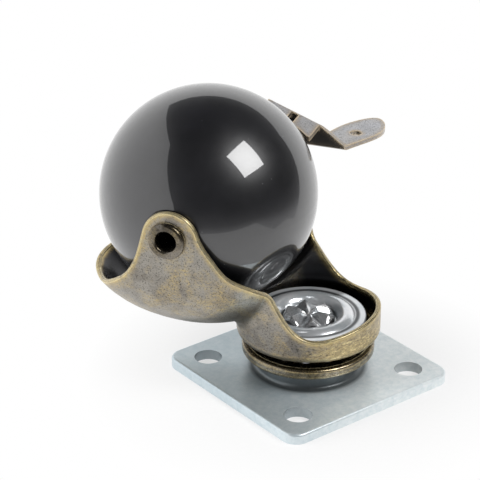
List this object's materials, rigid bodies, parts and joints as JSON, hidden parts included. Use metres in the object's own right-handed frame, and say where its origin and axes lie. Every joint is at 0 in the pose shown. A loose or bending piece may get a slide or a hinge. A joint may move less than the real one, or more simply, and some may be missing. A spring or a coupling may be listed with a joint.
{
  "type": "swivel plate castor",
  "caption": "Swivelling ball castor with a square screw-on plate, pressed hood and side brake lever.",
  "frame": {"origin": "centre of the plate's mounting face", "axes": "+Z along the swivel axis from the mounting face towards the ball; X and Y along the plate's sides; at rest the hood points 57.8 degrees from +X towards -Y"},
  "size_m": [0.0649, 0.0562, 0.054],
  "materials": {
    "zinc_plate": "bright zinc plated steel sheet",
    "bright_zinc": "bright zinc plated steel, staked and pressed",
    "antique_bronze": "antique bronze plated steel, relieved on the edges",
    "bearing_steel": "polished steel balls",
    "plain_steel": "plain zinc plated steel",
    "black_nylon": "glossy black moulded nylon"
  },
  "bodies": {
    "base": {"top_plate": "zinc_plate", "kingpin": "bright_zinc", "lower_race": "antique_bronze", "lower_bearing_balls": "bearing_steel", "upper_bearing_balls": "bearing_steel", "upper_race_washer": "bright_zinc"},
    "hood": {"swivel_hood": "antique_bronze", "axle_rivet": "antique_bronze", "axle_sleeve": "plain_steel", "near_hub_washer": "plain_steel", "far_hub_washer": "plain_steel", "brake_rivet": "antique_bronze", "brake_spacer": "plain_steel", "brake_spring_washer": "plain_steel"},
    "wheel": {"wheel_ball": "black_nylon"},
    "lever": {"brake_lever": "antique_bronze"}
  },
  "joints": [
    {"name": "swivel", "type": "hinge", "parent": "base", "child": "hood", "pos_m": [0, 0, 0], "axis": [0, 0, 1], "continuous": true},
    {"name": "wheel_spin", "type": "hinge", "parent": "hood", "child": "wheel", "pos_m": [0.01039, -0.0165, 0.034], "axis": [0.8462, 0.5329, 0], "continuous": true},
    {"name": "brake", "type": "hinge", "parent": "hood", "child": "lever", "pos_m": [0.00901, -0.0143, 0.027], "axis": [0.8462, 0.5329, 0], "range_deg": [0, 20]}
  ]
}
